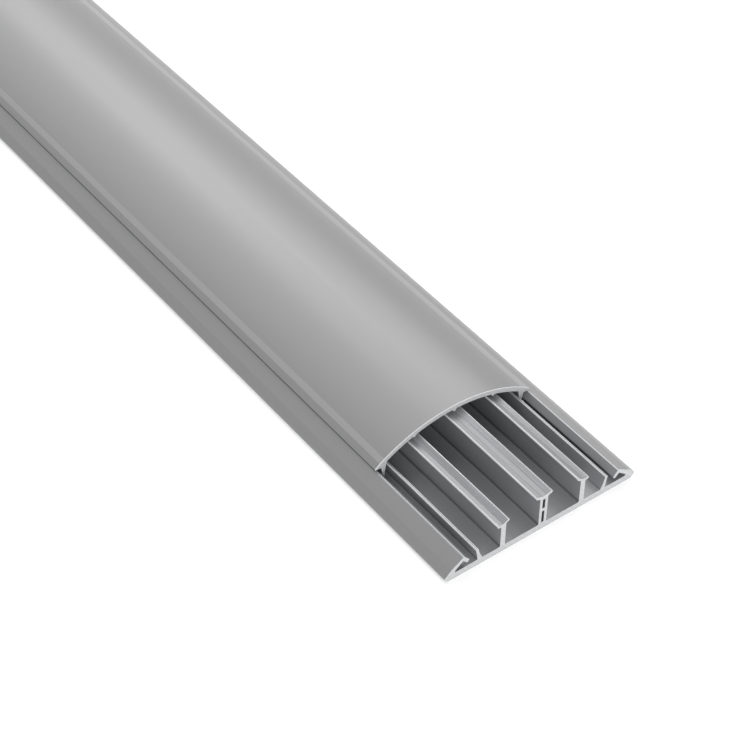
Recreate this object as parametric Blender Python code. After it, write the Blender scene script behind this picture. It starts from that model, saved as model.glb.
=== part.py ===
"""Four-compartment floor cord cover, as two extruded rigid PVC profiles.

The base is a ramped floor channel with three dividers. The cover is an arched
strip whose two legs snap between the base's lips and inner walls. Each profile
is one closed outline across the width, run along the length.

World axes: +X across the width, +Y along the length, +Z up. The origin is the
centre of the base's underside. Section sizes below are in millimetres.
"""
from math import asin, cos, radians, sin, sqrt, tan

import bpy
from mathutils import Matrix, Vector

MM = 0.001

# Lengths of the stock
STOCK_LENGTH = 1000.0
COVER_DRAWN_BACK = 43.5

# Base: floor plate and ramps
FLOOR_TOP = 2.4
UNDERSIDE_EDGE = (36.0, 0.0)
RAMP_TIP = (37.7, 1.6)
RAMP_KNEE = (34.9, 4.2)
CREST_OUTER = (30.7, 6.9)
CREST_INNER = (30.1, 6.95)

# Base: lip folded down and in from the crest, and the hollow under the ramp
LIP_END_UPPER = (28.2, 4.8)
LIP_END_LOWER = (29.0, 3.9)
CREST_UNDERSIDE = (30.6, 5.5)
HOLLOW_POINT = (33.7, 3.0)
HOLLOW_FLOOR_X = 33.3

# Base: inner walls, leaning outwards
WALL_FOOT_INNER_X = 23.2
WALL_BEND_INNER = (24.3, 4.8)
WALL_TOP_INNER = (24.95, 7.2)
WALL_TOP_OUTER = (25.9, 7.2)
WALL_BEND_OUTER = (25.3, 4.6)
WALL_FOOT_OUTER_X = 25.0

# Base: side dividers, a web under a bent bar that rises towards the middle
SIDE_WEB_X = 15.5
SIDE_WEB_THICKNESS = 1.8
SIDE_BAR_OUTER = (17.7, 12.0)
SIDE_BAR_BEND = (15.85, 11.85)
SIDE_BAR_INNER = (13.4, 13.2)
SIDE_BAR_THICKNESS = 0.8
SIDE_BAR_ROOT_OUTER_Z = 11.0
SIDE_BAR_ROOT_INNER_Z = 11.7

# Base: centre divider, a double web under a bar with a shallow flat groove along its middle
CENTRE_WEB_THICKNESS = 3.0
CENTRE_BAR_TIP = (3.15, 15.0)
CENTRE_GROOVE_EDGE = (1.25, 14.6)
CENTRE_GROOVE_FLOOR = (0.75, 14.38)
CENTRE_BAR_THICKNESS = 0.75
CENTRE_BAR_ROOT_Z = 13.5
CELL_WIDTH = 1.0
CELL_SPANS = ((2.9, 7.8), (9.0, 12.9))

# Cover: the arch
APEX_Z = 18.0
ARCH_RADIUS = 52.4
ARCH_THICKNESS = 1.8
ARCH_CENTRE_Z = APEX_Z - ARCH_RADIUS
ARCH_EDGE_X = 27.1
ARCH_STEPS = 32

# Cover: a narrow flat strip beside the arch, then the steeper edge band over the base's crest
STRIP_EDGE = (28.9, 9.3)
FLANGE_TIP_UPPER = (30.7, 7.75)
FLANGE_TIP_LOWER = (30.45, 7.3)
FLANGE_ROOT = (28.3, 7.3)

# Cover: the tapered snap leg and its barb
LEG_NECK = (27.75, 4.2)
BARB_POINT = (28.8, 3.4)
LEG_FOOT_OUTER = (27.7, 2.85)
LEG_FOOT_INNER = (27.0, 2.85)
LEG_BEND_INNER = (26.95, 4.6)
LEG_TOP_INNER_X = 26.2

# Cover: the small ribs above the dividers
SIDE_RIB_WIDTH = 1.4
SIDE_RIB_DEPTH = 0.9
CENTRE_RIB_WIDTH = 1.6
CENTRE_RIB_DEPTH = 1.2

# Rounding of the profiles' corners
EDGE_ROUND = 0.3
FOOT_ROUND = 0.6
TIP_ROUND = 0.5
KNEE_ROUND = 1.5
LEG_ROOT_ROUND = 0.8
BARB_ROUND = 0.15
ROUND_STEP = radians(15.0)

# Grey rigid PVC, linear colour
PVC_COLOUR = (0.185, 0.185, 0.185, 1.0)
PVC_ROUGHNESS = 0.45


def clear_scene():
    """Remove whatever the start-up file put in the scene."""
    for obj in list(bpy.data.objects):
        bpy.data.objects.remove(obj, do_unlink=True)


def rounded(corners):
    """Turn (x, z, radius) corners of a closed outline into points, with arcs at the rounded ones."""
    points = []
    for index, (x, z, radius) in enumerate(corners):
        corner = Vector((x, z))
        if radius == 0.0:
            points.append(corner)
            continue
        before = (Vector(corners[index - 1][:2]) - corner).normalized()
        after = (Vector(corners[(index + 1) % len(corners)][:2]) - corner).normalized()
        half_angle = before.angle(after) / 2.0
        middle = corner + (before + after).normalized() * radius / sin(half_angle)
        start = corner + before * radius / tan(half_angle) - middle
        turn = start.angle_signed(corner + after * radius / tan(half_angle) - middle)
        steps = max(1, round(abs(turn) / ROUND_STEP))
        for step in range(steps + 1):
            angle = -turn * step / steps
            points.append(middle + Matrix.Rotation(angle, 2) @ start)
    return [(point.x, point.y) for point in points]


def both_sides(half):
    """Close an outline whose right half is given in order, by mirroring it across X = 0."""
    mirrored = [(-x, z, radius) for x, z, radius in reversed(half) if x > 0.0]
    return half + mirrored


def arch_z(radius, x):
    """Height of a circle about the arch's centre."""
    return ARCH_CENTRE_Z + sqrt(radius * radius - x * x)


def arch_points(radius, x_start, x_end):
    """Unrounded corners along the arch, evenly spaced in angle, without the last one."""
    start = asin(x_start / radius)
    turn = asin(x_end / radius) - start
    steps = max(1, round(abs(turn) / (2.0 * asin(ARCH_EDGE_X / ARCH_RADIUS)) * ARCH_STEPS))
    angles = [start + turn * step / steps for step in range(steps)]
    return [(radius * sin(angle), ARCH_CENTRE_Z + radius * cos(angle), 0.0) for angle in angles]


def ramp_and_lip():
    """Outer edge of the base, from the underside up the ramp and round the lip to the floor."""
    return [
        (*UNDERSIDE_EDGE, TIP_ROUND),
        (*RAMP_TIP, TIP_ROUND),
        (*RAMP_KNEE, KNEE_ROUND),
        (*CREST_OUTER, EDGE_ROUND),
        (*CREST_INNER, EDGE_ROUND),
        (*LIP_END_UPPER, EDGE_ROUND),
        (*LIP_END_LOWER, EDGE_ROUND),
        (*CREST_UNDERSIDE, EDGE_ROUND),
        (*HOLLOW_POINT, 0.0),
        (HOLLOW_FLOOR_X, FLOOR_TOP, 0.0),
    ]


def inner_wall():
    """The wall that holds the cover's leg against the lip."""
    return [
        (WALL_FOOT_OUTER_X, FLOOR_TOP, EDGE_ROUND),
        (*WALL_BEND_OUTER, 0.0),
        (*WALL_TOP_OUTER, EDGE_ROUND),
        (*WALL_TOP_INNER, EDGE_ROUND),
        (*WALL_BEND_INNER, 0.0),
        (WALL_FOOT_INNER_X, FLOOR_TOP, EDGE_ROUND),
    ]


def side_divider():
    """A web and its bar, level outside the bend and rising inside it."""
    outer_x = SIDE_WEB_X + SIDE_WEB_THICKNESS / 2.0
    inner_x = SIDE_WEB_X - SIDE_WEB_THICKNESS / 2.0
    return [
        (outer_x, FLOOR_TOP, FOOT_ROUND),
        (outer_x, SIDE_BAR_ROOT_OUTER_Z, EDGE_ROUND),
        (SIDE_BAR_OUTER[0], SIDE_BAR_OUTER[1] - SIDE_BAR_THICKNESS, EDGE_ROUND),
        (*SIDE_BAR_OUTER, EDGE_ROUND),
        (*SIDE_BAR_BEND, 0.0),
        (*SIDE_BAR_INNER, EDGE_ROUND),
        (SIDE_BAR_INNER[0], SIDE_BAR_INNER[1] - SIDE_BAR_THICKNESS, EDGE_ROUND),
        (inner_x, SIDE_BAR_ROOT_INNER_Z, EDGE_ROUND),
        (inner_x, FLOOR_TOP, FOOT_ROUND),
    ]


def centre_divider():
    """Right half of the double web and its bar, ending on the floor of the bar's groove."""
    web_x = CENTRE_WEB_THICKNESS / 2.0
    tip_x, tip_z = CENTRE_BAR_TIP
    return [
        (web_x, FLOOR_TOP, FOOT_ROUND),
        (web_x, CENTRE_BAR_ROOT_Z, EDGE_ROUND),
        (tip_x, tip_z - CENTRE_BAR_THICKNESS, EDGE_ROUND),
        (tip_x, tip_z, EDGE_ROUND),
        (*CENTRE_GROOVE_EDGE, 0.0),
        (*CENTRE_GROOVE_FLOOR, 0.0),
    ]


def base_outlines():
    """The base's closed outline, then the two cells inside its double web."""
    half = ramp_and_lip() + inner_wall() + side_divider() + centre_divider()
    outlines = [rounded(both_sides(half))]
    for bottom, top in CELL_SPANS:
        right = [(CELL_WIDTH / 2.0, bottom, 0.0), (CELL_WIDTH / 2.0, top, 0.0)]
        outlines.append(rounded(both_sides(right)))
    return outlines


def cover_leg():
    """Flange and snap leg, from the arch's outer edge down and back up to its underside."""
    under_radius = ARCH_RADIUS - ARCH_THICKNESS
    return [
        (ARCH_EDGE_X, arch_z(ARCH_RADIUS, ARCH_EDGE_X), 0.0),
        (*STRIP_EDGE, EDGE_ROUND),
        (*FLANGE_TIP_UPPER, BARB_ROUND),
        (*FLANGE_TIP_LOWER, BARB_ROUND),
        (*FLANGE_ROOT, EDGE_ROUND),
        (*LEG_NECK, BARB_ROUND),
        (*BARB_POINT, BARB_ROUND),
        (*LEG_FOOT_OUTER, EDGE_ROUND),
        (*LEG_FOOT_INNER, EDGE_ROUND),
        (*LEG_BEND_INNER, 0.0),
        (LEG_TOP_INNER_X, arch_z(under_radius, LEG_TOP_INNER_X), LEG_ROOT_ROUND),
    ]


def cover_underside():
    """The arch's underside from the leg to the middle, with the small ribs over the dividers."""
    radius = ARCH_RADIUS - ARCH_THICKNESS
    rib_out = SIDE_WEB_X + SIDE_RIB_WIDTH / 2.0
    rib_in = SIDE_WEB_X - SIDE_RIB_WIDTH / 2.0
    centre_rib_x = CENTRE_RIB_WIDTH / 2.0
    clear_of_leg = LEG_TOP_INNER_X - 2.0 * LEG_ROOT_ROUND
    return [
        *arch_points(radius, clear_of_leg, rib_out),
        (rib_out, arch_z(radius, rib_out), 0.0),
        (SIDE_WEB_X, arch_z(radius, SIDE_WEB_X) - SIDE_RIB_DEPTH, EDGE_ROUND),
        (rib_in, arch_z(radius, rib_in), 0.0),
        *arch_points(radius, rib_in, centre_rib_x)[1:],
        (centre_rib_x, arch_z(radius, centre_rib_x), 0.0),
        (0.0, arch_z(radius, 0.0) - CENTRE_RIB_DEPTH, EDGE_ROUND),
    ]


def cover_outlines():
    """The cover's closed outline."""
    half = arch_points(ARCH_RADIUS, 0.0, ARCH_EDGE_X) + cover_leg() + cover_underside()
    return [rounded(both_sides(half))]


def pvc_material(name):
    """Plain grey rigid PVC."""
    material = bpy.data.materials.new(name)
    material.use_nodes = True
    shader = material.node_tree.nodes["Principled BSDF"]
    shader.inputs["Base Color"].default_value = PVC_COLOUR
    shader.inputs["Roughness"].default_value = PVC_ROUGHNESS
    shader.inputs["Metallic"].default_value = 0.0
    return material


def profile(name, outlines, middle_y, collection):
    """Run closed outlines along Y as one solid, centred on middle_y."""
    curve = bpy.data.curves.new(name, "CURVE")
    curve.dimensions = "2D"
    curve.fill_mode = "BOTH"
    curve.extrude = STOCK_LENGTH / 2.0 * MM
    for outline in outlines:
        spline = curve.splines.new("POLY")
        spline.points.add(len(outline) - 1)
        for point, (x, z) in zip(spline.points, outline):
            point.co = (x * MM, z * MM, 0.0, 1.0)
        spline.use_cyclic_u = True
    curve.materials.append(pvc_material(name))
    obj = bpy.data.objects.new(name, curve)
    obj.location = (0.0, middle_y * MM, 0.0)
    obj.rotation_euler = (radians(90.0), 0.0, 0.0)
    collection.objects.link(obj)
    return obj


def build():
    """Make the base and the drawn-back cover."""
    clear_scene()
    collection = bpy.data.collections.new("floor_cord_cover")
    bpy.context.scene.collection.children.link(collection)
    profile("base", base_outlines(), 0.0, collection)
    profile("cover", cover_outlines(), COVER_DRAWN_BACK, collection)
    bpy.context.view_layer.update()


build()
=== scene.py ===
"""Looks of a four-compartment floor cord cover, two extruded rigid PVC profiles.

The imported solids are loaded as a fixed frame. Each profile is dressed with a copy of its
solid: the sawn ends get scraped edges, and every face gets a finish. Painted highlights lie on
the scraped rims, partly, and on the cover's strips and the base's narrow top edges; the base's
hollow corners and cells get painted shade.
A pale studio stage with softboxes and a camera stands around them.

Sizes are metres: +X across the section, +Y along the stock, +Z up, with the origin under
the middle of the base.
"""
from math import cos, radians, sin

import bmesh
import bpy
from mathutils import Matrix, Vector


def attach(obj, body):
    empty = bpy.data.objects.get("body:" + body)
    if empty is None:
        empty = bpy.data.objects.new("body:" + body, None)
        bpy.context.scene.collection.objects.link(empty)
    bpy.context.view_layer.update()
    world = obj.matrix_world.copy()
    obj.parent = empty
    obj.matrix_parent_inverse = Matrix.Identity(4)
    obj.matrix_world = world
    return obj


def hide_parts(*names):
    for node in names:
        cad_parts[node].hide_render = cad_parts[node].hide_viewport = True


bl_info = {
    "name": "Floor Cord Cover",
    "version": (1, 0, 0),
    "blender": (4, 5, 0),
    "location": "View3D > Sidebar > Cord Cover",
    "description": "Dresses two extruded PVC profiles and sets a studio stage around them",
    "category": "Object",
}

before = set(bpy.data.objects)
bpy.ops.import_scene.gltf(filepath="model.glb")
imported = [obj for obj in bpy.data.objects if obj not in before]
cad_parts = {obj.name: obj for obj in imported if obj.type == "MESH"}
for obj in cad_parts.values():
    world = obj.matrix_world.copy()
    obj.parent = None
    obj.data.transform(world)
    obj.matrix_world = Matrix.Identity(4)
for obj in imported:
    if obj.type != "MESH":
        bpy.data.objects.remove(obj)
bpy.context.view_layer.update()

MM = 0.001

# Faces and edges are told apart by their place, and by where their normal points
END_FACE_NORMAL = 0.99
WELD_DISTANCE = 1e-6
FLAT_ANGLE = radians(0.2)
# At this weight a shared corner takes its normal from the largest of its faces
LARGEST_FACE_WEIGHT = 100
# The cover's narrow strip, between the crease beside its arch and the steeper edge band, which gets
# a paler grey as a painted highlight
STRIP_CREASE_X = 27.1 * MM
STRIP_OUTER_X = 28.9 * MM
STRIP_LOW_Z = 9.0 * MM
CREASE_REACH = 0.1 * MM
# Top edges of the base's walls, bars and crests, painted pale as a painted highlight
EDGE_FACE_WIDTH = 0.3 * MM
EDGE_LOW_Z = 6.4 * MM
EDGE_OUTER_X = 30.5 * MM
EDGE_LOW_NORMAL = -0.5
# Tops of the dividers' bars
BAR_LOW_Z = 11.3 * MM
BAR_LOW_NORMAL = 0.5
# The ramps, outside the crests
RAMP_INNER_X = 30.8 * MM
RAMP_LOW_NORMAL = 0.2
# Hollow corners where walls and dividers stand on the floor plate, which get painted shade
CORNER_OUTER_X = 25.5 * MM
CORNER_HIGH_Z = 3.05 * MM
CORNER_HIGH_NORMAL = 0.98
# The two narrow cells inside the centre divider's web, which also get painted shade
CELL_OUTER_X = 0.6 * MM
CELL_LOW_Z = 2.5 * MM
CELL_HIGH_Z = 13.6 * MM

# Rigid PVC: its index of refraction, and how rough each of its surfaces is
PVC_IOR = 1.53
EXTRUDED_ROUGHNESS = 0.42
DIE_LINE_ROUGHNESS = (0.38, 0.46)
SAWN_ROUGHNESS = 0.72
SCRAPED_ROUGHNESS = 0.5
PAINTED_HIGHLIGHT_ROUGHNESS = 0.35
# How dark and how pale each finish gets, as shares of its colour
SAWN_SHADES = (0.93, 1.05)
SCRAPED_SHADES = (0.9, 1.06)
PAINTED_HIGHLIGHT_SHADES = (0.7, 1.2)
# Noise textures mostly stay within this range
NOISE_RANGE = (0.3, 0.7)
NOISE_DETAIL = 2.0
NOISE_ROUGHNESS = 0.5
DIE_LINE_DETAIL = 3.0
DIE_LINE_NOISE_ROUGHNESS = 0.6
# Size of each finish's grain or patches, and the grain's share beside the lines or marks
EXTRUDED_GRAIN = 0.4 * MM
EXTRUDED_GRAIN_SHARE = 0.35
SAWN_GRAIN = 0.3 * MM
SAWN_GRAIN_SHARE = 0.5
CHATTER_SIZE = 0.8 * MM
PAINTED_HIGHLIGHT_WIDTH = 0.8 * MM
PAINTED_HIGHLIGHT_RUN = 9.0 * MM
# Strength and depth of the fine relief
EXTRUDED_RELIEF = (0.25, 0.02 * MM)
SAWN_RELIEF = (0.5, 0.03 * MM)
# Bands over one unit of a diagonal wave texture of scale 1, and how saw marks waver
DIAGONAL_WAVES = 2.25
SAW_MARK_WAVER = {"Distortion": 1.5, "Detail": 2.0, "Detail Scale": 2.0}
# Sockets of a Mix node: factor and two inputs, of which colours have their own
MIX_FACTOR, MIX_FLOATS, MIX_COLOURS = 0, (2, 3), (6, 7)
MIX_FLOAT_RESULT, MIX_COLOUR_RESULT = 0, 2

# The part of the stock that the camera sees, which the softboxes face
IN_VIEW = Vector((0.0, -0.38, 0.01))
FLOOR_DROP = 0.05 * MM
FLOOR_SIZE = 40.0
FLOOR_ROUGHNESS = 0.9
SENSOR_WIDTH = 36.0
SOFTBOX_DISTANCE = 2.2
# Each softbox's name, azimuth and elevation in degrees, and size in metres
SOFTBOXES = (
    ("front_left", -28.0, 22.0, 1.4),
    ("back", 180.0, 50.0, 1.7),
    ("back_right", 150.0, 38.0, 0.9),
    ("right", 120.0, 38.0, 0.9),
)


def linear(hex_colour):
    """Turn an sRGB hex colour into linear red, green and blue, by the sRGB standard's curve."""
    channels = [int(hex_colour[start:start + 2], 16) / 255.0 for start in (1, 3, 5)]
    return tuple(c / 12.92 if c <= 0.04045 else ((c + 0.055) / 1.055) ** 2.4 for c in channels)


class CordCoverEdges(bpy.types.PropertyGroup):
    """How the sawn ends and long edges of the stock are finished."""

    scrape: bpy.props.FloatProperty(
        name="Scraped edge",
        description="Width of the scraped edge round a sawn end",
        default=0.3 * MM,
        min=0.0,
        unit="LENGTH",
    )
    scrape_steps: bpy.props.IntProperty(
        name="Scrape steps",
        description="Faces across a scraped edge",
        default=2,
        min=1,
        max=4,
    )
    crease: bpy.props.FloatProperty(
        name="Crease angle",
        description="Long edges that turn more than this stay sharp",
        default=radians(20.0),
        subtype="ANGLE",
    )


class CordCoverPvc(bpy.types.PropertyGroup):
    """Colours and marks of the rigid PVC."""

    cover_grey: bpy.props.FloatVectorProperty(
        name="Cover grey",
        description="Colour of the cover and of the ramps as extruded",
        default=linear("#777777"),
        min=0.0,
        max=1.0,
        subtype="COLOR",
    )
    base_grey: bpy.props.FloatVectorProperty(
        name="Base grey",
        description="Slightly cooler colour of the base's inside as extruded",
        default=linear("#757779"),
        min=0.0,
        max=1.0,
        subtype="COLOR",
    )
    sawn_grey: bpy.props.FloatVectorProperty(
        name="Sawn grey",
        description="Paler colour of a face that a saw has roughened",
        default=linear("#ACADAE"),
        min=0.0,
        max=1.0,
        subtype="COLOR",
    )
    # Partly a painted highlight: the scraped rim is paler from the scraping, and whiter still for
    # the light that its edge catches
    scraped_and_highlight_grey: bpy.props.FloatVectorProperty(
        name="Scraped grey",
        description="Palest colour, along the scraped edge of a sawn end",
        default=linear("#D2D3D4"),
        min=0.0,
        max=1.0,
        subtype="COLOR",
    )
    # Painted highlight: this pale grey stands in for the light that the narrow rounded top edges
    # catch
    painted_highlight_grey: bpy.props.FloatVectorProperty(
        name="Rubbed grey",
        description="Pale colour of a long edge that handling has rubbed",
        default=linear("#BEC0C0"),
        min=0.0,
        max=1.0,
        subtype="COLOR",
    )
    # Painted highlight: the strip's paler grey stands in for the light that it catches
    strip_highlight_grey: bpy.props.FloatVectorProperty(
        name="Strip grey",
        description="Slightly paler colour of the narrow strip beside the cover's arch",
        default=linear("#838383"),
        min=0.0,
        max=1.0,
        subtype="COLOR",
    )
    # Painted shade: this darker grey stands in for the shade in the hollow corners and narrow cells
    painted_shade_grey: bpy.props.FloatVectorProperty(
        name="Corner grey",
        description="Darker colour of hollow corners and narrow cells, where fine dust stays",
        default=linear("#4E4F50"),
        min=0.0,
        max=1.0,
        subtype="COLOR",
    )
    die_line_pitch: bpy.props.FloatProperty(
        name="Die line pitch",
        description="Spacing across the stock of the faint lines that the die leaves",
        default=0.7 * MM,
        unit="LENGTH",
    )
    die_line_run: bpy.props.FloatProperty(
        name="Die line run",
        description="Length along the stock over which a die line fades in and out",
        default=180.0 * MM,
        unit="LENGTH",
    )
    bar_line_pitch: bpy.props.FloatProperty(
        name="Bar line pitch",
        description="Spacing of the lines along the dividers' bars",
        default=0.55 * MM,
        unit="LENGTH",
    )
    bar_line_run: bpy.props.FloatProperty(
        name="Bar line run",
        description="Length over which a line along a bar fades in and out",
        default=25.0 * MM,
        unit="LENGTH",
    )
    cover_streaks: bpy.props.FloatProperty(
        name="Cover streaks",
        description="How much lighter and darker the die lines of the cover and ramps are",
        default=0.02,
        subtype="FACTOR",
    )
    base_streaks: bpy.props.FloatProperty(
        name="Base streaks",
        description="How much lighter and darker the die lines of the base's inside are",
        default=0.06,
        subtype="FACTOR",
    )
    bar_streaks: bpy.props.FloatProperty(
        name="Bar streaks",
        description="How much lighter and darker the lines along the dividers' bars are",
        default=0.3,
        subtype="FACTOR",
    )
    # The bars' tops get a slightly paler, cooler grey than the cover, with stronger lines along
    # them
    bar_grey: bpy.props.FloatVectorProperty(
        name="Bar grey",
        description="Colour of the dividers' bars, slightly paler from the cover sliding over them",
        default=linear("#7A7C7E"),
        min=0.0,
        max=1.0,
        subtype="COLOR",
    )
    saw_mark_pitch: bpy.props.FloatProperty(
        name="Saw mark pitch",
        description="Spacing of the blade's marks on a sawn end",
        default=1.6 * MM,
        unit="LENGTH",
    )


class CordCoverStudio(bpy.types.PropertyGroup):
    """Camera, softboxes and floor of the stage."""

    camera_place: bpy.props.FloatVectorProperty(
        name="Camera place",
        description="Where the camera stands",
        default=(-0.29668, -0.80833, 0.46615),
        subtype="TRANSLATION",
        unit="LENGTH",
    )
    camera_azimuth: bpy.props.FloatProperty(
        name="Camera azimuth",
        description="How far the camera has gone round the part, from looking along +Y",
        default=radians(-36.716),
        subtype="ANGLE",
    )
    camera_elevation: bpy.props.FloatProperty(
        name="Camera elevation",
        description="How far the camera looks down from the horizon",
        default=radians(43.256),
        subtype="ANGLE",
    )
    camera_roll: bpy.props.FloatProperty(
        name="Camera roll",
        description="Turn of the camera about its own line of sight",
        default=radians(0.38),
        subtype="ANGLE",
    )
    camera_lens: bpy.props.FloatProperty(
        name="Focal length",
        description="Focal length of the camera on a 36 mm sensor",
        default=101.6,
        unit="CAMERA",
    )
    room_light: bpy.props.FloatProperty(
        name="Room light",
        description="Strength of the even white light from the room all round",
        default=0.5,
        min=0.0,
    )
    front_left_power: bpy.props.FloatProperty(
        name="Front left softbox",
        description="Power of the big low softbox that lights the sawn ends and the compartments",
        default=38.0,
        unit="POWER",
    )
    back_power: bpy.props.FloatProperty(
        name="Back softbox",
        description="Power of the big softbox behind, whose reflection spreads over the crown",
        default=20.5,
        unit="POWER",
    )
    back_right_power: bpy.props.FloatProperty(
        name="Back right softbox",
        description="Power of the softbox at the back right, which brightens the crown",
        default=16.5,
        unit="POWER",
    )
    right_power: bpy.props.FloatProperty(
        name="Right softbox",
        description="Power of the softbox on the right, which lights the right ramp",
        default=17.0,
        unit="POWER",
    )
    floor_white: bpy.props.FloatVectorProperty(
        name="Floor white",
        description="Colour of the floor",
        default=linear("#F8F8F8"),
        min=0.0,
        max=1.0,
        subtype="COLOR",
    )
    floor_glow: bpy.props.FloatProperty(
        name="Floor glow",
        description="Strength of the light that comes up through the light table",
        default=0.2,
        min=0.0,
    )


def add_node(tree, kind, settings=(), inputs=()):
    """Add a shader node with its settings; an input is linked to a socket or set to a value."""
    node = tree.nodes.new(kind)
    for name, value in dict(settings).items():
        setattr(node, name, value)
    for name, value in dict(inputs).items():
        if isinstance(value, bpy.types.NodeSocket):
            tree.links.new(value, node.inputs[name])
        else:
            node.inputs[name].default_value = value
    return node


def new_material(name, roughness):
    """A Principled material of rigid PVC: its node tree, its shader and its object coordinates."""
    material = bpy.data.materials.new(name)
    material.use_nodes = True
    tree = material.node_tree
    shader = tree.nodes["Principled BSDF"]
    shader.inputs["Roughness"].default_value = roughness
    shader.inputs["IOR"].default_value = PVC_IOR
    place = add_node(tree, "ShaderNodeTexCoord").outputs["Object"]
    return material, tree, shader, place


def noise(tree, place, size, detail=NOISE_DETAIL, roughness=NOISE_ROUGHNESS):
    """Noise with patches of one size, or of its own size across and run along the stock."""
    width, run = size if isinstance(size, tuple) else (size, size)
    steps = (1.0 / width, 1.0 / run, 1.0 / width)
    scaled = add_node(tree, "ShaderNodeMapping", inputs={"Vector": place, "Scale": steps})
    inputs = {
        "Vector": scaled.outputs["Vector"],
        "Scale": 1.0,
        "Detail": detail,
        "Roughness": roughness,
    }
    return add_node(tree, "ShaderNodeTexNoise", inputs=inputs).outputs["Fac"]


def blend(tree, first, second, share):
    """Two patterns as one, of which the second has this share."""
    inputs = {MIX_FACTOR: share, MIX_FLOATS[0]: first, MIX_FLOATS[1]: second}
    mix = add_node(tree, "ShaderNodeMix", settings={"data_type": "FLOAT"}, inputs=inputs)
    return mix.outputs[MIX_FLOAT_RESULT]


def stretch(tree, pattern, result=(0.0, 1.0)):
    """Stretch a pattern's usual range to another one."""
    inputs = {
        "Value": pattern,
        "From Min": NOISE_RANGE[0],
        "From Max": NOISE_RANGE[1],
        "To Min": result[0],
        "To Max": result[1],
    }
    return add_node(tree, "ShaderNodeMapRange", inputs=inputs).outputs["Result"]


def tint(tree, shader, pattern, colour, shades):
    """Let a pattern vary the shader's colour between a darker and a paler shade."""
    dark, pale = ((*[channel * shade for channel in colour], 1.0) for shade in shades)
    inputs = {MIX_FACTOR: pattern, MIX_COLOURS[0]: dark, MIX_COLOURS[1]: pale}
    mix = add_node(tree, "ShaderNodeMix", settings={"data_type": "RGBA"}, inputs=inputs)
    tree.links.new(mix.outputs[MIX_COLOUR_RESULT], shader.inputs["Base Color"])


def emboss(tree, shader, pattern, relief):
    """Give the shader the fine relief of a pattern."""
    strength, depth = relief
    inputs = {"Height": pattern, "Strength": strength, "Distance": depth}
    bump = add_node(tree, "ShaderNodeBump", inputs=inputs)
    tree.links.new(bump.outputs["Normal"], shader.inputs["Normal"])


def extruded_pvc(name, colour, contrast, pitch, run):
    """Rigid PVC as extruded: satin, with faint die lines drawn out along the stock.

    The eye sees a soft, even sheen that is slightly streaked lengthways, and a fine grain.
    """
    material, tree, shader, place = new_material(name, EXTRUDED_ROUGHNESS)
    lines = noise(tree, place, (pitch, run), DIE_LINE_DETAIL, DIE_LINE_NOISE_ROUGHNESS)
    both = blend(tree, lines, noise(tree, place, EXTRUDED_GRAIN), EXTRUDED_GRAIN_SHARE)
    tint(tree, shader, stretch(tree, both), colour, (1.0 - contrast, 1.0 + contrast))
    tree.links.new(stretch(tree, lines, DIE_LINE_ROUGHNESS), shader.inputs["Roughness"])
    emboss(tree, shader, both, EXTRUDED_RELIEF)
    return material


def sawn_pvc(name, colour, mark_pitch):
    """Rigid PVC as the saw leaves it.

    The eye sees a paler, dull face with close parallel marks across the end.
    """
    material, tree, shader, place = new_material(name, SAWN_ROUGHNESS)
    marks = add_node(
        tree,
        "ShaderNodeTexWave",
        settings={"bands_direction": "DIAGONAL"},
        inputs={"Vector": place, "Scale": 1.0 / (DIAGONAL_WAVES * mark_pitch), **SAW_MARK_WAVER},
    )
    both = blend(tree, marks.outputs["Fac"], noise(tree, place, SAWN_GRAIN), SAWN_GRAIN_SHARE)
    tint(tree, shader, both, colour, SAWN_SHADES)
    emboss(tree, shader, both, SAWN_RELIEF)
    return material


def scraped_and_highlight_pvc(name, colour):
    """Rigid PVC where a blade took the burr off, paler from the scraping and paler still as a
    painted highlight.

    The eye sees the palest line of all round each sawn end, slightly uneven.
    """
    material, tree, shader, place = new_material(name, SCRAPED_ROUGHNESS)
    tint(tree, shader, noise(tree, place, CHATTER_SIZE), colour, SCRAPED_SHADES)
    return material


def painted_highlight_pvc(name, colour):
    """Rigid PVC on a long rounded edge, painted pale as a painted highlight.

    The eye sees a pale, slightly glossier line that comes and goes along the stock.
    """
    material, tree, shader, place = new_material(name, PAINTED_HIGHLIGHT_ROUGHNESS)
    tint(tree, shader, noise(tree, place, (PAINTED_HIGHLIGHT_WIDTH, PAINTED_HIGHLIGHT_RUN)), colour, PAINTED_HIGHLIGHT_SHADES)
    return material


def welded_copy(node, name):
    """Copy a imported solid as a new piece, with its triangles welded into flat faces."""
    bpy.ops.object.select_all(action="DESELECT")
    piece = bpy.data.objects.new(name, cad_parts[node].data.copy())
    piece.data.name = name
    bpy.context.scene.collection.objects.link(piece)
    piece.select_set(True)
    bpy.context.view_layer.objects.active = piece
    bpy.ops.mesh.customdata_custom_splitnormals_clear()
    bpy.ops.object.mode_set(mode="EDIT")
    bpy.ops.mesh.select_all(action="SELECT")
    bpy.ops.mesh.remove_doubles(threshold=WELD_DISTANCE)
    bpy.ops.mesh.select_all(action="SELECT")
    bpy.ops.mesh.dissolve_limited(angle_limit=FLAT_ANGLE)
    bpy.ops.object.mode_set(mode="OBJECT")
    return piece


def is_end(face):
    """True for a face of one of the two sawn ends."""
    return abs(face.normal.y) > END_FACE_NORMAL


def face_width(face, mesh):
    """Width of a long face across the profile."""
    corners = [mesh.vertices[index].co for index in face.vertices]
    return max(Vector((a.x - b.x, a.z - b.z)).length for a in corners for b in corners)


def cover_finish(face, mesh):
    """Name of the finish that a face of the cover gets."""
    if is_end(face):
        return "sawn"
    # The strip gets a paler grey, a painted highlight
    if STRIP_CREASE_X < abs(face.center.x) < STRIP_OUTER_X and face.center.z > STRIP_LOW_Z:
        return "strip"
    return "extruded"


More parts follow.
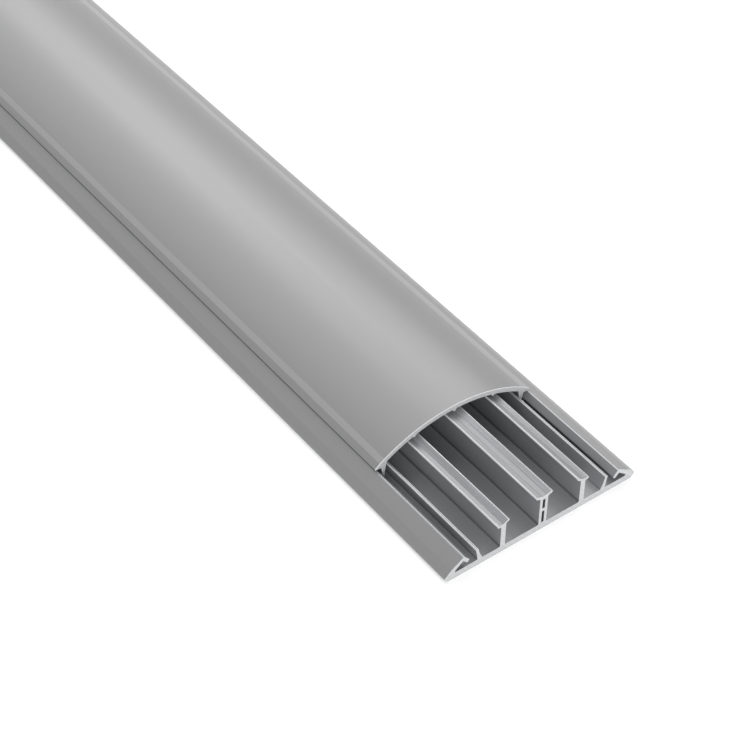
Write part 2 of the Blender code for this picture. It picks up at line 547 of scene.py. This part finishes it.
def base_finish(face, mesh):
    """Name of the finish that a face of the base gets."""
    across, height, up = abs(face.center.x), face.center.z, face.normal.z
    if is_end(face):
        return "sawn"
    if across < EDGE_OUTER_X and height > EDGE_LOW_Z and up > EDGE_LOW_NORMAL:
        # Painted highlight on the narrow rounded top edges
        if face_width(face, mesh) < EDGE_FACE_WIDTH:
            return "painted_highlight"
        if height > BAR_LOW_Z and up > BAR_LOW_NORMAL:
            return "bar"
    if across > RAMP_INNER_X and up > RAMP_LOW_NORMAL:
        return "ramp"
    # Painted shade for the narrow cells and the hollow corners
    if across < CELL_OUTER_X and CELL_LOW_Z < height < CELL_HIGH_Z:
        return "painted_shade"
    if across < CORNER_OUTER_X and height < CORNER_HIGH_Z and 0.0 < up < CORNER_HIGH_NORMAL:
        return "painted_shade"
    return "extruded"


def select_edges(piece, wanted):
    """In edit mode, select the edges for which wanted(edge) is true and nothing else."""
    bpy.ops.mesh.select_mode(type="EDGE")
    bpy.ops.mesh.select_all(action="DESELECT")
    mesh = bmesh.from_edit_mesh(piece.data)
    for edge in mesh.edges:
        edge.select_set(wanted(edge))
    mesh.select_flush_mode()
    bmesh.update_edit_mesh(piece.data)


def on_end_rim(edge):
    """True where a sawn end meets the sides of the profile."""
    return len(edge.link_faces) == 2 and is_end(edge.link_faces[0]) != is_end(edge.link_faces[1])


def on_strip_crease(edge):
    """True for the two long creases between the cover's arch and its flatter strips."""
    return all(
        abs(abs(vert.co.x) - STRIP_CREASE_X) < CREASE_REACH and vert.co.z > STRIP_LOW_Z
        for vert in edge.verts
    )


def finish_profile(piece, materials, finish_of, edges):
    """Give each face its finish, scrape the sawn rims and shade the long faces smoothly."""
    mesh = piece.data
    mesh.materials.clear()
    for material in materials.values():
        mesh.materials.append(material)
    slots = {name: index for index, name in enumerate(materials)}
    for face in mesh.polygons:
        face.material_index = slots[finish_of(face, mesh)]
    bpy.ops.object.mode_set(mode="EDIT")
    select_edges(piece, on_end_rim)
    bpy.ops.mesh.bevel(
        offset=edges.scrape,
        segments=edges.scrape_steps,
        affect="EDGES",
        clamp_overlap=True,
        material=slots["scraped"],
    )
    bpy.ops.object.mode_set(mode="OBJECT")
    bpy.ops.object.shade_smooth_by_angle(angle=edges.crease)
    bpy.ops.object.mode_set(mode="EDIT")
    select_edges(piece, on_strip_crease)
    bpy.ops.mesh.mark_sharp()
    bpy.ops.object.mode_set(mode="OBJECT")
    weighted = piece.modifiers.new("flat_faces_first", "WEIGHTED_NORMAL")
    weighted.weight = LARGEST_FACE_WEIGHT
    weighted.keep_sharp = True
    bpy.ops.object.modifier_apply(modifier=weighted.name)


def end_finishes(node, pvc):
    """The finishes of a sawn end and its scraped rim."""
    return {
        "sawn": sawn_pvc(f"{node}_sawn_rigid_pvc", pvc.sawn_grey, pvc.saw_mark_pitch),
        "scraped": scraped_and_highlight_pvc(f"{node}_scraped_rigid_pvc", pvc.scraped_and_highlight_grey),
    }


def dress_profile(node, materials, finish_of, scene):
    """Make the visible piece that stands for one imported profile."""
    piece = welded_copy(node, f"{node}_profile")
    finish_profile(piece, materials, finish_of, scene.cord_cover_edges)
    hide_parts(node)
    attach(piece, node)


class CORDCOVER_OT_base_profile(bpy.types.Operator):
    """Dress the ramped base, with its dividers and end faces"""

    bl_idname = "cord_cover.base_profile"
    bl_label = "Base Profile"

    def execute(self, context):
        pvc = context.scene.cord_cover_pvc
        lines = (pvc.die_line_pitch, pvc.die_line_run)
        bar_lines = (pvc.bar_line_pitch, pvc.bar_line_run)
        materials = {
            "extruded": extruded_pvc(
                "base_inside_rigid_pvc", pvc.base_grey, pvc.base_streaks, *lines
            ),
            "ramp": extruded_pvc("base_ramp_rigid_pvc", pvc.cover_grey, pvc.cover_streaks, *lines),
            "bar": extruded_pvc("base_bar_rigid_pvc", pvc.bar_grey, pvc.bar_streaks, *bar_lines),
            # Painted shade: the cells and hollow corners get the darker grey
            "painted_shade": extruded_pvc(
                "base_corner_rigid_pvc", pvc.painted_shade_grey, pvc.base_streaks, *lines
            ),
            # Painted highlight on the narrow rounded top edges
            "painted_highlight": painted_highlight_pvc("base_rubbed_rigid_pvc", pvc.painted_highlight_grey),
            **end_finishes("base", pvc),
        }
        dress_profile("base", materials, base_finish, context.scene)
        return {"FINISHED"}


class CORDCOVER_OT_cover_profile(bpy.types.Operator):
    """Dress the arched cover, with its strips, legs and ribs"""

    bl_idname = "cord_cover.cover_profile"
    bl_label = "Cover Profile"

    def execute(self, context):
        pvc = context.scene.cord_cover_pvc
        lines = (pvc.die_line_pitch, pvc.die_line_run)
        materials = {
            "extruded": extruded_pvc("cover_rigid_pvc", pvc.cover_grey, pvc.cover_streaks, *lines),
            # Painted highlight: the strip beside the arch gets a paler grey
            "strip": extruded_pvc(
                "cover_strip_rigid_pvc", pvc.strip_highlight_grey, pvc.cover_streaks, *lines
            ),
            **end_finishes("cover", pvc),
        }
        dress_profile("cover", materials, cover_finish, context.scene)
        return {"FINISHED"}


def lay_floor(colour, glow):
    """Lay a wide light table of matt opal acrylic.

    The eye sees plain white, and its faint glow takes the grey out of the shadows.
    """
    bpy.ops.mesh.primitive_plane_add(size=FLOOR_SIZE, location=(0.0, 0.0, -FLOOR_DROP))
    floor = bpy.context.object
    floor.name = "studio_floor"
    material = bpy.data.materials.new("matt_opal_acrylic")
    material.use_nodes = True
    shader = material.node_tree.nodes["Principled BSDF"]
    shader.inputs["Base Color"].default_value = (*colour, 1.0)
    shader.inputs["Roughness"].default_value = FLOOR_ROUGHNESS
    shader.inputs["Emission Color"].default_value = (*colour, 1.0)
    shader.inputs["Emission Strength"].default_value = glow
    floor.data.materials.append(material)


def light_room(scene, strength):
    """Fill the room all round with even white light."""
    world = bpy.data.worlds.new("studio_room")
    world.use_nodes = True
    backdrop = world.node_tree.nodes["Background"]
    backdrop.inputs["Color"].default_value = (1.0, 1.0, 1.0, 1.0)
    backdrop.inputs["Strength"].default_value = strength
    scene.world = world


def toward(azimuth, elevation):
    """Unit vector from the part, azimuth 0 being -Y and 90 degrees +X."""
    return Vector((
        sin(azimuth) * cos(elevation),
        -cos(azimuth) * cos(elevation),
        sin(elevation),
    ))


def hang_softbox(name, azimuth, elevation, size, power):
    """Hang a square softbox that faces the part in view."""
    outward = toward(radians(azimuth), radians(elevation))
    bpy.ops.object.light_add(type="AREA", location=IN_VIEW + outward * SOFTBOX_DISTANCE)
    lamp = bpy.context.object
    lamp.name = name
    lamp.rotation_euler = outward.to_track_quat("Z", "Y").to_euler()
    lamp.data.shape = "SQUARE"
    lamp.data.size = size
    lamp.data.energy = power
    lamp.visible_camera = False


def place_camera(scene, studio):
    """Stand the camera at its place and turn it to the part."""
    bpy.ops.object.camera_add()
    camera = bpy.context.object
    camera.name = "camera"
    camera.data.lens = studio.camera_lens
    camera.data.sensor_width = SENSOR_WIDTH
    turn = (
        Matrix.Rotation(studio.camera_azimuth, 4, "Z")
        @ Matrix.Rotation(radians(90.0) - studio.camera_elevation, 4, "X")
        @ Matrix.Rotation(studio.camera_roll, 4, "Z")
    )
    camera.matrix_world = Matrix.Translation(studio.camera_place) @ turn
    scene.camera = camera


class CORDCOVER_OT_studio(bpy.types.Operator):
    """Lay the floor, light the room, hang the softboxes and stand the camera"""

    bl_idname = "cord_cover.studio"
    bl_label = "Studio"

    def execute(self, context):
        scene = context.scene
        studio = scene.cord_cover_studio
        bpy.ops.object.select_all(action="DESELECT")
        lay_floor(studio.floor_white, studio.floor_glow)
        light_room(scene, studio.room_light)
        for name, azimuth, elevation, size in SOFTBOXES:
            power = getattr(studio, f"{name}_power")
            hang_softbox(f"{name}_softbox", azimuth, elevation, size, power)
        place_camera(scene, studio)
        scene.view_settings.view_transform = "Standard"
        return {"FINISHED"}


class VIEW3D_PT_cord_cover(bpy.types.Panel):
    """Buttons and settings of the cord cover"""

    bl_label = "Cord Cover"
    bl_space_type = "VIEW_3D"
    bl_region_type = "UI"
    bl_category = "Cord Cover"

    def draw(self, context):
        for operator in OPERATORS:
            self.layout.operator(operator.bl_idname)
        for group in (
            context.scene.cord_cover_edges,
            context.scene.cord_cover_pvc,
            context.scene.cord_cover_studio,
        ):
            for name in group.__annotations__:
                self.layout.prop(group, name)


OPERATORS = (CORDCOVER_OT_base_profile, CORDCOVER_OT_cover_profile, CORDCOVER_OT_studio)
GROUPS = {
    "cord_cover_edges": CordCoverEdges,
    "cord_cover_pvc": CordCoverPvc,
    "cord_cover_studio": CordCoverStudio,
}


def register():
    """Register the classes and hang their settings on the scene."""
    for item in (*GROUPS.values(), *OPERATORS, VIEW3D_PT_cord_cover):
        bpy.utils.register_class(item)
    for name, group in GROUPS.items():
        setattr(bpy.types.Scene, name, bpy.props.PointerProperty(type=group))


def unregister():
    """Take the settings off the scene and unregister the classes."""
    for name in GROUPS:
        delattr(bpy.types.Scene, name)
    for item in (VIEW3D_PT_cord_cover, *reversed(OPERATORS), *reversed(GROUPS.values())):
        bpy.utils.unregister_class(item)


def main():
    """Make every piece and the stage."""
    register()
    bpy.ops.cord_cover.base_profile()
    bpy.ops.cord_cover.cover_profile()
    bpy.ops.cord_cover.studio()


if __name__ == "__main__":
    main()
